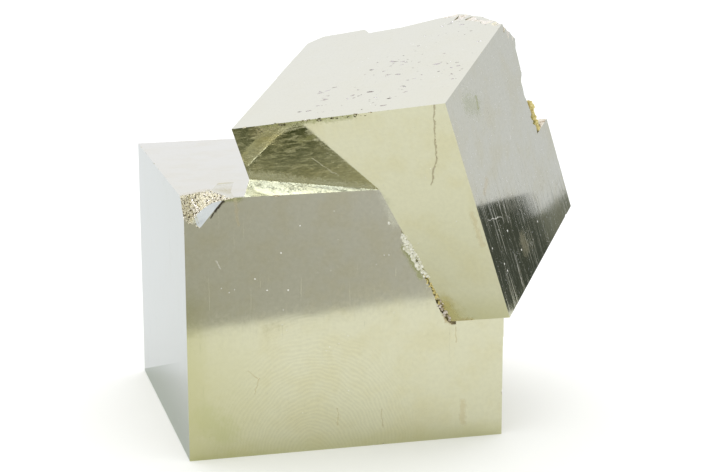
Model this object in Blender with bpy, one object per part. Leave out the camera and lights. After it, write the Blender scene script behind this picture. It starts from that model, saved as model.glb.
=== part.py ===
# A pyrite specimen: a smaller cubic crystal grown at a slant through the corner of a larger one.
# Metres, +Z up. The origin lies under the middle of the whole specimen, on the surface it rests on,
# and the front face of the larger, lower crystal looks towards -Y.

import math
import random

import bmesh
import bpy
from mathutils import Euler, Matrix, Vector

# The lower crystal, whose edges run along X, Y and Z.
LOWER_WIDTH = 0.0320
LOWER_DEPTH = 0.0308
LOWER_HEIGHT = 0.0260

# The upper crystal, measured along its own edges. Its middle is given from the lower crystal's
# front left bottom corner.
UPPER_WIDTH = 0.0231
UPPER_DEPTH = 0.0224
UPPER_HEIGHT = 0.0236
UPPER_MIDDLE = Vector((0.0250, 0.0104, 0.0257))
UPPER_TURN = Euler((math.radians(18.1), math.radians(-10.2), math.radians(-39.6)))

# Clear space between neighbouring pieces, and how far a cutter reaches past a face.
GAP = 0.0003
OVERSHOOT = 0.001

# The lower crystal's top front right corner ends in the upper one's right face, where the seat
# reaches this much further and leaves no sliver.
SEAT_EXTRA_RIGHT = 0.0004

# The filled furrow where the upper crystal leaves the lower one's front face: its highest and
# lowest points as shares of the lower crystal's height, and its radius at its ends and middle.
FURROW_TOP = 0.83
FURROW_BOTTOM = 0.46
FURROW_END_RADIUS = 0.00050
FURROW_RADIUS = 0.00085
FURROW_RINGS = 9
FURROW_SIDES = 8
FURROW_SINK = 0.00025
FILLING_WANDER = 0.00010

# The step missing from the upper crystal's back right edge. Each level gives the depth below the
# top face, how far back the wall starts on the right face, and how far right it ends on the back face.
STEP_LEVELS = (
    (-OVERSHOOT, 0.0176, 0.0162),
    (0.0, 0.0178, 0.0165),
    (0.0027, 0.0200, 0.0178),
    (0.0035, 0.0194, 0.0171),
    (0.0061, 0.0193, 0.0167),
    (0.0068, 0.0185, 0.0160),
    (0.0101, 0.0187, 0.0164),
    (0.0117, 0.0191, 0.0169),
    (0.0130, 0.0189, 0.0167),
)
STEP_WALL_BULGE = 0.0004

# The bevelled back left corner of the upper crystal, as lengths along its three edges.
BEVEL_ALONG_DEPTH = 0.0036
BEVEL_ALONG_WIDTH = 0.0022
BEVEL_ALONG_HEIGHT = 0.0060

# The broken front left top corner of the lower crystal, as lengths along its three edges.
CHIP_ALONG_WIDTH = 0.0041
CHIP_ALONG_DEPTH = 0.0021
CHIP_ALONG_HEIGHT = 0.0022
CHIP_LIP = (0.0015, 0.0028)
CHIP_PIT = (0.0016, 0.0010, 0.0021)

# Iron-stained crust and a grain of calcite, both at the foot of the step.
CRUST_HEIGHT = 0.0034
CRUST_THICKNESS = 0.0007
CRUST_LENGTH = 0.0028
GRAIN_SIZE = 0.0012

PYRITE_COLOUR = (0.60, 0.57, 0.43)
UPPER_PYRITE_COLOUR = (0.63, 0.60, 0.46)
FILLING_COLOUR = (0.72, 0.68, 0.55)
CRUST_COLOUR = (0.62, 0.44, 0.12)
GRAIN_COLOUR = (0.82, 0.82, 0.80)


def clear_scene():
    for obj in list(bpy.data.objects):
        bpy.data.objects.remove(obj, do_unlink=True)


def make_material(name, colour, roughness, metallic):
    material = bpy.data.materials.new(name)
    material.use_nodes = True
    shader = material.node_tree.nodes["Principled BSDF"]
    shader.inputs["Base Color"].default_value = (*colour, 1.0)
    shader.inputs["Roughness"].default_value = roughness
    shader.inputs["Metallic"].default_value = metallic
    return material


def add_object(name, shape, material=None):
    """Turns a bmesh into an object with outward faces. Without a material it is a hidden cutter."""
    bmesh.ops.recalc_face_normals(shape, faces=shape.faces)
    mesh = bpy.data.meshes.new(name)
    shape.to_mesh(mesh)
    shape.free()
    obj = bpy.data.objects.new(name, mesh)
    bpy.context.scene.collection.objects.link(obj)
    if material is None:
        obj.hide_render = True
        obj.display_type = "WIRE"
    else:
        mesh.materials.append(material)
    return obj


def box_shape(low, high):
    """A box between two corners."""
    shape = bmesh.new()
    size = Vector(high) - Vector(low)
    middle = (Vector(high) + Vector(low)) / 2
    bmesh.ops.create_cube(shape, size=1.0, matrix=Matrix.LocRotScale(middle, None, size))
    return shape


def hull_shape(points):
    """The smallest convex solid around some points."""
    shape = bmesh.new()
    for point in points:
        shape.verts.new(point)
    result = bmesh.ops.convex_hull(shape, input=shape.verts)
    inner = [item for item in result["geom_interior"] if isinstance(item, bmesh.types.BMVert)]
    bmesh.ops.delete(shape, geom=inner, context="VERTS")
    return shape


def loft_shape(rings):
    """A closed solid through rings that all have the same number of points."""
    shape = bmesh.new()
    loops = [[shape.verts.new(point) for point in ring] for ring in rings]
    count = len(loops[0])
    for lower, upper in zip(loops, loops[1:]):
        for index in range(count):
            following = (index + 1) % count
            shape.faces.new((lower[index], lower[following], upper[following], upper[index]))
    shape.faces.new(loops[0])
    shape.faces.new(loops[-1])
    bmesh.ops.triangulate(shape, faces=shape.faces)
    return shape


def cut(obj, cutter):
    modifier = obj.modifiers.new("cut_" + cutter.name, "BOOLEAN")
    modifier.operation = "DIFFERENCE"
    modifier.solver = "EXACT"
    modifier.object = cutter


def upper_point(across, back, up):
    """The place of a point of the upper crystal, from -1 to 1 along its width, depth and height."""
    size = Vector((UPPER_WIDTH, UPPER_DEPTH, UPPER_HEIGHT))
    local = Vector((across, back, up)) * size / 2
    return UPPER_MIDDLE + UPPER_TURN.to_matrix() @ local


def frame_shift():
    """Brings the middle of the specimen's footprint to the origin. The upper crystal's bottom back
    right corner reaches furthest right, and its top front right corner furthest forward."""
    right = upper_point(1, 1, -1).x
    front = upper_point(1, -1, 1).y
    return Vector((-right / 2, -(front + LOWER_DEPTH) / 2, 0.0))


def seam_point(height):
    """The point at this height where the upper crystal's front face crosses the lower one's."""
    outward = UPPER_TURN.to_matrix() @ Vector((0, -1, 0))
    on_face = upper_point(0, -1, 0)
    across = (outward.dot(on_face) - outward.z * height) / outward.x
    return Vector((across, 0.0, height))


def furrow_rings(shrink, wander):
    """Rings around the seam, wider in the middle, smaller by shrink and wandering a little."""
    chance = random.Random(4)
    top = seam_point(LOWER_HEIGHT * FURROW_TOP)
    bottom = seam_point(LOWER_HEIGHT * FURROW_BOTTOM)
    along = (bottom - top).normalized()
    inward = Vector((0, 1, 0))
    across = along.cross(inward)
    rings = []
    for step in range(FURROW_RINGS):
        share = step / (FURROW_RINGS - 1)
        swell = math.sin(math.pi * share)
        radius = FURROW_END_RADIUS + (FURROW_RADIUS - FURROW_END_RADIUS) * swell - shrink
        middle = top.lerp(bottom, share) + inward * FURROW_SINK
        middle += along * shrink * (1 - 2 * share)
        ring = []
        for side in range(FURROW_SIDES):
            angle = 2 * math.pi * side / FURROW_SIDES
            reach = radius - wander * chance.random()
            ring.append(middle + reach * (math.cos(angle) * across + math.sin(angle) * inward))
        rings.append(ring)
    return rings


def make_furrow(shift):
    furrow = add_object("furrow", loft_shape(furrow_rings(0.0, 0.0)))
    furrow.location = shift
    return furrow


def make_lower_crystal(shift, furrow):
    size = Vector((LOWER_WIDTH, LOWER_DEPTH, LOWER_HEIGHT))
    material = make_material("lower_pyrite", PYRITE_COLOUR, 0.12, 1.0)
    crystal = add_object("lower_crystal", box_shape((0, 0, 0), size), material)
    crystal.location = shift

    top = LOWER_HEIGHT
    lip_across, lip_down = CHIP_LIP
    pit_across, pit_back, pit_down = CHIP_PIT
    chip = add_object(
        "corner_chip",
        hull_shape(
            (
                (-OVERSHOOT, -OVERSHOOT, top + OVERSHOOT),
                (0, 0, top - CHIP_ALONG_HEIGHT),
                (0, CHIP_ALONG_DEPTH, top),
                (CHIP_ALONG_WIDTH, 0, top),
                (lip_across, 0, top - lip_down),
                (pit_across, pit_back, top - pit_down),
                (lip_across, CHIP_ALONG_DEPTH, top),
            )
        ),
    )
    chip.location = shift

    half = Vector((UPPER_WIDTH, UPPER_DEPTH, UPPER_HEIGHT)) / 2
    room = Vector((GAP, GAP, GAP))
    sliver = Vector((SEAT_EXTRA_RIGHT, 0, 0))
    seat = add_object("upper_crystal_seat", box_shape(-half - room, half + room + sliver))
    seat.location = shift + UPPER_MIDDLE
    seat.rotation_euler = UPPER_TURN
    for cutter in (chip, seat, furrow):
        cut(crystal, cutter)
    return crystal


def step_wall(depth, back, across):
    """The two ends of the step's wall at one level, on the upper crystal's right and back faces."""
    height = UPPER_HEIGHT / 2 - depth
    on_right = Vector((UPPER_WIDTH / 2, back - UPPER_DEPTH / 2, height))
    on_back = Vector((across - UPPER_WIDTH / 2, UPPER_DEPTH / 2, height))
    return on_right, on_back


def step_ring(depth, back, across):
    """One level of the cutter for the upper crystal's missing step, in the crystal's own axes."""
    on_right, on_back = step_wall(depth, back, across)
    beyond = (on_right - on_back).normalized() * OVERSHOOT
    bend = (on_right + on_back) / 2 + Vector((STEP_WALL_BULGE, STEP_WALL_BULGE, 0))
    corner = Vector((UPPER_WIDTH / 2 + OVERSHOOT, UPPER_DEPTH / 2 + OVERSHOOT, on_right.z))
    return on_right + beyond, bend, on_back - beyond, corner


def make_upper_crystal(shift, furrow):
    half = Vector((UPPER_WIDTH, UPPER_DEPTH, UPPER_HEIGHT)) / 2
    material = make_material("upper_pyrite", UPPER_PYRITE_COLOUR, 0.12, 1.0)
    crystal = add_object("upper_crystal", box_shape(-half, half), material)

    step = add_object("edge_step", loft_shape([step_ring(*level) for level in STEP_LEVELS]))
    bevel = add_object(
        "corner_bevel",
        hull_shape(
            (
                (-half.x - OVERSHOOT, half.y + OVERSHOOT, half.z + OVERSHOOT),
                (-half.x, half.y - BEVEL_ALONG_DEPTH, half.z + OVERSHOOT),
                (-half.x + BEVEL_ALONG_WIDTH, half.y, half.z + OVERSHOOT),
                (-half.x - OVERSHOOT, half.y - BEVEL_ALONG_DEPTH, half.z),
                (-half.x + BEVEL_ALONG_WIDTH, half.y + OVERSHOOT, half.z),
                (-half.x, half.y, half.z - BEVEL_ALONG_HEIGHT),
            )
        ),
    )
    for obj in (crystal, step, bevel):
        obj.location = shift + UPPER_MIDDLE
        obj.rotation_euler = UPPER_TURN

    for cutter in (step, bevel, furrow):
        cut(crystal, cutter)
    return crystal


def make_seam_filling():
    material = make_material("seam_mineral", FILLING_COLOUR, 0.75, 0.0)
    rings = furrow_rings(GAP, FILLING_WANDER)
    return add_object("seam_filling", loft_shape(rings), material)


def make_step_crust():
    """A lens of crust that stands in the corner between the step's wall and its floor."""
    start, end = step_wall(*STEP_LEVELS[-1])
    along = (end - start).normalized()
    outward = Vector((along.y, -along.x, 0.0))
    foot = start + outward * (GAP + 2 * STEP_WALL_BULGE) + Vector((0, 0, GAP))
    points = []
    for share, height, thickness in ((0.0, 0.6, 0.5), (0.4, 1.0, 1.0), (1.0, 0.5, 0.4)):
        inner = foot + along * CRUST_LENGTH * share
        outer = inner + outward * CRUST_THICKNESS * thickness
        rise = Vector((0, 0, CRUST_HEIGHT * height))
        points += [inner, outer, inner + rise, inner.lerp(outer, 0.6) + rise * 0.9]
    material = make_material("limonite", CRUST_COLOUR, 0.85, 0.0)
    return add_object("step_crust", hull_shape(points), material)


def make_ledge_grain():
    """A grain of calcite on the floor of the step, clear of the crust."""
    depth = STEP_LEVELS[-1][0]
    shape = bmesh.new()
    bmesh.ops.create_icosphere(shape, subdivisions=1, radius=GRAIN_SIZE / 2)
    middle = Vector(
        (
            UPPER_WIDTH / 2 - GRAIN_SIZE * 0.55,
            UPPER_DEPTH / 2 - GRAIN_SIZE * 0.55,
            UPPER_HEIGHT / 2 - depth + GAP + GRAIN_SIZE / 2,
        )
    )
    bmesh.ops.translate(shape, verts=shape.verts, vec=middle)
    material = make_material("calcite", GRAIN_COLOUR, 0.55, 0.0)
    return add_object("ledge_grain", shape, material)


def main():
    clear_scene()
    shift = frame_shift()
    furrow = make_furrow(shift)
    make_lower_crystal(shift, furrow)
    make_upper_crystal(shift, furrow)
    filling = make_seam_filling()
    filling.location = shift
    for piece in (make_step_crust(), make_ledge_grain()):
        piece.location = shift + UPPER_MIDDLE
        piece.rotation_euler = UPPER_TURN


main()
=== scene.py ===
# A pyrite specimen: a smaller cube of pyrite grown at a slant through the corner of a larger one,
# on a pale studio floor. Metres, +Z up. Sizes in the dictionaries are in millimetres.

import math
import random

import bmesh
import bpy
from mathutils import Euler, Matrix, Vector, noise
from mathutils.geometry import delaunay_2d_cdt


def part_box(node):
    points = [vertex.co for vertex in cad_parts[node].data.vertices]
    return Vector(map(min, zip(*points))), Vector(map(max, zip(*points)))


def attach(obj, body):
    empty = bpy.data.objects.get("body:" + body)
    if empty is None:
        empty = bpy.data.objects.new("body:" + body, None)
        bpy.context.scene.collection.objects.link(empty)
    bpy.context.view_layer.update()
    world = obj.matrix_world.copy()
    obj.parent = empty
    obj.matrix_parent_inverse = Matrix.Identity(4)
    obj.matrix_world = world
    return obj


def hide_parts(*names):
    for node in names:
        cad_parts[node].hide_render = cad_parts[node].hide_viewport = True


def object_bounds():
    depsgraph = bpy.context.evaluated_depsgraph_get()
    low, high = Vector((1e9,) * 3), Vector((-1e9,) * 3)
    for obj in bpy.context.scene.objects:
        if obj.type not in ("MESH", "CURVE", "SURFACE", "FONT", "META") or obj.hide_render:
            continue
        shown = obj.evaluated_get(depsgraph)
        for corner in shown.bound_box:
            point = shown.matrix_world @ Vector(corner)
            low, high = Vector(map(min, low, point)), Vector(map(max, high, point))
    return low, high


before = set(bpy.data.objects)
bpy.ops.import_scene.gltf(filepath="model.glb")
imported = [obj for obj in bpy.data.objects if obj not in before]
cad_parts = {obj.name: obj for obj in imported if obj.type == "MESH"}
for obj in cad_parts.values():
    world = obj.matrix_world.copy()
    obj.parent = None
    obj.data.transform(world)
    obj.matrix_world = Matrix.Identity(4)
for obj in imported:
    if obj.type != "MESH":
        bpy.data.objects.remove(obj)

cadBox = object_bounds()
mm = 0.001

lowerLow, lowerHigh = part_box("lower_crystal")

# Each crystal has its own axes in millimetres. They start at its front left top corner, with x to
# the right, y to the back and z down into the crystal. The upper one's are turned with it.
lowerShape = {
    "width": (lowerHigh.x - lowerLow.x) / mm,
    "depth": (lowerHigh.y - lowerLow.y) / mm,
    "height": (lowerHigh.z - lowerLow.z) / mm,
}
upperShape = {
    "width": 23.1,
    "depth": 22.4,
    "height": 23.6,
    "middle": (25.0, 10.4, 25.7),
    "turn": (18.1, -10.2, -39.6),
}


def millimetres(values):
    return Vector(values) * mm


def crystalAxes(origin, turn):
    # A matrix from a crystal's own millimetres to the frame's metres, with z pointing down into it.
    down = Matrix.Diagonal((mm, mm, -mm, 1.0))
    return Matrix.Translation(origin) @ turn.to_4x4() @ down


upperTurn = Euler([math.radians(angle) for angle in upperShape["turn"]]).to_matrix()
upperHalf = millimetres((upperShape["width"], upperShape["depth"], upperShape["height"])) / 2
upperMiddle = lowerLow + millimetres(upperShape["middle"])
upperCorner = upperMiddle + upperTurn @ Vector((-upperHalf.x, -upperHalf.y, upperHalf.z))
lowerAxes = crystalAxes(Vector((lowerLow.x, lowerLow.y, lowerHigh.z)), Matrix.Identity(3))
upperAxes = crystalAxes(upperCorner, upperTurn)


def addNode(tree, kind, **settings):
    node = tree.nodes.new(kind)
    for name, value in settings.items():
        setattr(node, name, value)
    return node


def feed(tree, socket, value):
    if isinstance(value, bpy.types.NodeSocket):
        tree.links.new(value, socket)
    elif value is not None:
        socket.default_value = value


def calculate(tree, operation, first, second=None, clamp=False):
    node = addNode(tree, "ShaderNodeMath", operation=operation, use_clamp=clamp)
    feed(tree, node.inputs[0], first)
    feed(tree, node.inputs[1], second)
    return node.outputs[0]


def times(tree, first, second):
    return calculate(tree, "MULTIPLY", first, second)


def plus(tree, first, second):
    return calculate(tree, "ADD", first, second)


def minus(tree, first, second):
    return calculate(tree, "SUBTRACT", first, second)


def combine(tree, operation, first, second=None):
    node = addNode(tree, "ShaderNodeVectorMath", operation=operation)
    feed(tree, node.inputs[0], first)
    feed(tree, node.inputs[1], second)
    return node.outputs["Value" if operation in ("LENGTH", "DOT_PRODUCT") else "Vector"]


def remap(tree, value, low, high, newLow=0.0, newHigh=1.0, smooth=True):
    easing = "SMOOTHSTEP" if smooth else "LINEAR"
    node = addNode(tree, "ShaderNodeMapRange", interpolation_type=easing)
    for socket, item in zip(node.inputs, (value, low, high, newLow, newHigh)):
        feed(tree, socket, item)
    return node.outputs[0]


def blendColours(tree, factor, first, second, kind="MIX"):
    node = addNode(tree, "ShaderNodeMix", data_type="RGBA", blend_type=kind)
    feed(tree, node.inputs["Factor"], factor)
    colourSockets = [socket for socket in node.inputs if socket.type == "RGBA"]
    for socket, value in zip(colourSockets, (first, second)):
        feed(tree, socket, (*value, 1.0) if isinstance(value, tuple) and len(value) == 3 else value)
    return [socket for socket in node.outputs if socket.type == "RGBA"][0]


def noiseValue(tree, vector, scale, detail=2.0, roughness=0.5, distortion=0.0):
    node = addNode(tree, "ShaderNodeTexNoise")
    feed(tree, node.inputs["Vector"], vector)
    node.inputs["Scale"].default_value = scale
    node.inputs["Detail"].default_value = detail
    node.inputs["Roughness"].default_value = roughness
    node.inputs["Distortion"].default_value = distortion
    return node.outputs["Fac"]


def cells(tree, vector, scale):
    node = addNode(tree, "ShaderNodeTexVoronoi", feature="F1")
    feed(tree, node.inputs["Vector"], vector)
    node.inputs["Scale"].default_value = scale
    return node.outputs["Distance"]


def bump(tree, height, distance, normal=None):
    node = addNode(tree, "ShaderNodeBump")
    node.inputs["Strength"].default_value = 1.0
    node.inputs["Distance"].default_value = distance
    feed(tree, node.inputs["Height"], height)
    feed(tree, node.inputs["Normal"], normal)
    return node.outputs[0]


def startMaterial(name, colour, roughness, metallic):
    material = bpy.data.materials.new(name)
    material.use_nodes = True
    material.diffuse_color = (*colour, 1.0)
    tree = material.node_tree
    shader = tree.nodes["Principled BSDF"]
    shader.inputs["Base Color"].default_value = (*colour, 1.0)
    shader.inputs["Roughness"].default_value = roughness
    shader.inputs["Metallic"].default_value = metallic
    return material, tree, shader


def objectMillimetres(tree):
    place = addNode(tree, "ShaderNodeTexCoord").outputs["Object"]
    return combine(tree, "MULTIPLY", place, (1 / mm, 1 / mm, 1 / mm))


def faceMillimetres(tree):
    return addNode(tree, "ShaderNodeUVMap", uv_map="crystalFace").outputs[0]


def stretched(tree, vector, across, along):
    return combine(tree, "MULTIPLY", vector, (across, along, 1.0))


# What a mark does to the pyrite: its colour and how strongly, how much rougher it makes the face,
# how ragged its rim is, how fine its grain is and how much metal it hides.
markKinds = {
    "stain": ((0.40, 0.34, 0.10), 0.92, 0.06, 0.45, 0.8, 0.35),
    "rust": ((0.34, 0.25, 0.08), 0.90, 0.20, 0.7, 3.0, 0.35),
    "olive": ((0.32, 0.33, 0.15), 0.85, 0.20, 0.8, 3.0, 0.35),
    "crack": ((0.24, 0.20, 0.11), 0.60, 0.15, 1.2, 2.2, 0.35),
    "smudge": ((0.52, 0.46, 0.28), 0.55, 0.06, 0.8, 2.0, 0.35),
    # The next two kinds are painted shade rather than marks on the pyrite: a darker yellow-grey, and a
    # greenish darkening.
    "shade": ((0.48, 0.47, 0.25), 0.50, 0.02, 0.2, 1.0, 0.0),
    "greenShade": ((0.42, 0.44, 0.20), 0.50, 0.03, 0.9, 0.9, 0.0),
    "scratch": ((0.74, 0.72, 0.62), 0.55, 0.30, 0.6, 3.0, 0.35),
    "speck": ((0.90, 0.90, 0.86), 0.85, 0.6, 0.5, 5.0, 0.9),
    # gap is used only for the painted shade along the broken corner's wall on the front.
    "gap": ((0.045, 0.035, 0.02), 1.0, 0.30, 0.5, 3.0, 0.35),
    "mottle": ((0.40, 0.41, 0.25), 0.62, 0.12, 1.6, 3.2, 0.35),
    "frost": ((0.62, 0.62, 0.48), 0.60, 0.28, 1.2, 3.4, 0.35),
}

# A growth face. Its marks lie on the face in millimetres, across and down it (or back, on a top):
# the kind, where the mark starts and ends, and its half width.
pyriteFinish = {
    "colour": (0.590, 0.580, 0.420),
    "warmColour": (0.575, 0.555, 0.375),
    "edgeTint": (0.80, 0.83, 0.91, 1.0),
    "roughness": 0.055,
    "haze": 0.05,
    "waveHeight": 0.0000026,
    "waveScale": 0.16,
    "lineScale": (7.0, 0.10),
    "lineHeight": 0.00000030,
    "brush": 0.02,
    "streak": 0.0,
    "streakTone": 0.0,
    "streakScale": (0.55, 2.6),
    "mottleScale": (1.4, 4.6),
    "streakEdge": ((7.3, 0.0), (13.6, 8.6)),
    "streakFoot": ((14.0, 9.7), (0.0, 6.2)),
    "grainTone": 0.026,
    "rippleTone": 0.0,
    "rippleHeight": 0.0,
    "rippleMiddle": (12.2, 27.0),
    "rippleRate": 19.0,
    "rippleReach": (8.0, 13.0),
    "scratchHeight": 0.0000010,
    "dust": 0.60,
    "dustScale": 1.9,
    "dustColour": (0.80, 0.80, 0.78),
    "marks": (),
}

lowerTopFinish = {
    **pyriteFinish,
    "waveHeight": 0.0000014,
    "waveScale": 2.4,
    "lineScale": (1.5, 5.4),
    "lineHeight": 0.0000013,
    "grainTone": 0.012,
    "dust": 0.70,
    "marks": (
        ("olive", (4.2, 0.15), (5.6, 0.15), 0.35),
        ("olive", (7.5, 1.5), (8.0, 0.2), 0.55),
        ("smudge", (0.6, 2.6), (3.0, 4.4), 0.8),
    ),
}

lowerFrontFinish = {
    **pyriteFinish,
    "roughness": 0.085,
    "waveHeight": 0.0000085,
    "waveScale": 0.24,
    "rippleHeight": 0.0000007,
    "rippleTone": 0.034,
    "marks": (
        ("olive", (3.9, 0.1), (5.4, 0.1), 0.45),
        # Painted shade: these two gap marks draw a near-black line along the right wall of the broken corner.
        ("gap", (3.80, 0.25), (3.05, 1.15), 0.20),
        ("gap", (3.05, 1.15), (2.55, 1.75), 0.12),
        ("smudge", (5.0, 0.1), (5.2, 2.7), 0.25),
        ("smudge", (14.8, 21.9), (14.9, 23.6), 0.12),
        ("smudge", (19.38, 22.4), (19.4, 24.1), 0.10),
        ("smudge", (27.8, 22.2), (27.83, 24.4), 0.50),
        ("smudge", (27.0, 14.4), (27.03, 16.0), 0.10),
        ("smudge", (6.0, 17.3), (7.0, 18.2), 0.12),
        ("scratch", (2.98, 6.04), (3.45, 6.86), 0.11),
        ("speck", (6.74, 8.07), (6.76, 8.1), 0.10),
        ("speck", (9.33, 5.66), (9.35, 5.7), 0.10),
        ("speck", (11.23, 3.11), (11.25, 3.1), 0.09),
        ("speck", (20.09, 3.34), (20.1, 3.4), 0.16),
        ("speck", (7.9, 9.3), (7.95, 9.3), 0.09),
        ("speck", (10.0, 9.4), (10.0, 9.45), 0.10),
        ("frost", (19.5, 0.2), (20.7, 3.4), 0.8),
        ("rust", (25.1, 10.4), (26.3, 13.6), 0.60),
        ("olive", (24.0, 8.9), (25.0, 10.6), 0.35),
        ("olive", (21.6, 5.9), (23.4, 9.0), 0.50),
        ("smudge", (7.0, 18.2), (6.6, 19.6), 0.12),
        # The rest of this list is painted shade: a greenish darkening at the lower left and along the foot,
        # and a darker yellow-grey down the left edge and along the foot.
        ("greenShade", (1.6, 21.8), (3.4, 23.4), 2.2),
        ("greenShade", (0.2, 26.4), (9.0, 26.9), 1.5),
        ("greenShade", (9.0, 26.9), (31.8, 26.9), 0.6),
        ("shade", (-0.5, 11.0), (-0.5, 27.0), 3.2),
        ("shade", (-1.5, 20.0), (-1.5, 27.0), 13.0),
        ("shade", (-1.0, 26.4), (32.5, 26.4), 2.6),
    ),
}

# The left face's colours are a darker, slightly cooler copy of the pyrite's colours: painted shade.
lowerLeftShadedFinish = {
    **pyriteFinish,
    "colour": (0.548, 0.540, 0.408),
    "warmColour": (0.542, 0.532, 0.395),
    "grainTone": 0.012,
}

upperTopFinish = {
    **pyriteFinish,
    "warmColour": (0.586, 0.574, 0.408),
    "lineScale": (2.4, 0.5),
    "lineHeight": 0.0000010,
    "grainTone": 0.010,
}

upperFrontFinish = {
    **pyriteFinish,
    "waveHeight": 0.0000050,
    "waveScale": 0.30,
    "lineScale": (0.25, 2.6),
    "lineHeight": 0.0000010,
    "streak": 0.22,
    "streakTone": 0.26,
    "marks": (
        ("crack", (21.95, 0.0), (21.0, 3.6), 0.13),
        ("crack", (21.0, 3.6), (20.6, 5.4), 0.15),
        ("crack", (20.6, 5.4), (19.2, 8.3), 0.11),
        ("stain", (16.4, 21.9), (16.9, 23.2), 2.2),
        ("rust", (16.1, 23.5), (19.0, 23.6), 0.40),
        ("rust", (15.2, 20.5), (16.2, 23.3), 0.45),
        ("olive", (14.35, 14.7), (14.6, 14.9), 0.65),
        ("smudge", (22.4, 11.8), (22.5, 15.2), 0.45),
        ("scratch", (7.7, 4.2), (9.8, 6.2), 0.09),
        ("olive", (3.6, -0.1), (13.2, -0.1), 0.80),
        ("frost", (0.3, 5.2), (12.9, 8.1), 0.85),
        # Painted shade: a darker yellow-grey band along the foot of this face, towards the lower crystal.
        ("shade", (12.0, 24.0), (24.0, 24.0), 4.0),
    ),
}

upperRightFinish = {
    **pyriteFinish,
    "roughness": 0.055,
    "waveHeight": 0.0000020,
    "lineScale": (4.6, 0.06),
    "lineHeight": 0.0000022,
    "brush": 0.16,
    "scratchHeight": 0.0000030,
    "dust": 0.36,
    "dustScale": 2.5,
    "marks": (
        ("mottle", (4.6, 2.4), (6.6, 3.6), 1.5),
        ("olive", (6.9, 2.8), (6.7, 3.9), 0.28),
        ("smudge", (3.83, 10.3), (2.6, 10.9), 0.55),
        ("smudge", (8.02, 19.3), (8.1, 20.4), 1.3),
        ("scratch", (5.16, 19.4), (4.96, 22.8), 0.10),
        ("scratch", (6.2, 12.9), (5.9, 16.2), 0.09),
        ("scratch", (5.2, 12.0), (4.9, 15.6), 0.08),
        ("scratch", (1.53, 13.4), (4.71, 14.9), 0.08),
        ("speck", (5.18, 16.7), (5.2, 16.7), 0.17),
        ("speck", (0.73, 16.1), (0.75, 16.1), 0.12),
        ("speck", (7.08, 20.0), (7.1, 20.0), 0.14),
        ("speck", (2.35, 18.8), (2.36, 18.8), 0.13),
        ("speck", (2.55, 19.7), (2.56, 19.7), 0.14),
        ("speck", (12.8, 20.0), (12.8, 20.0), 0.13),
        ("scratch", (12.0, 10.0), (12.3, 9.7), 0.10),
    ),
}


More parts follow.
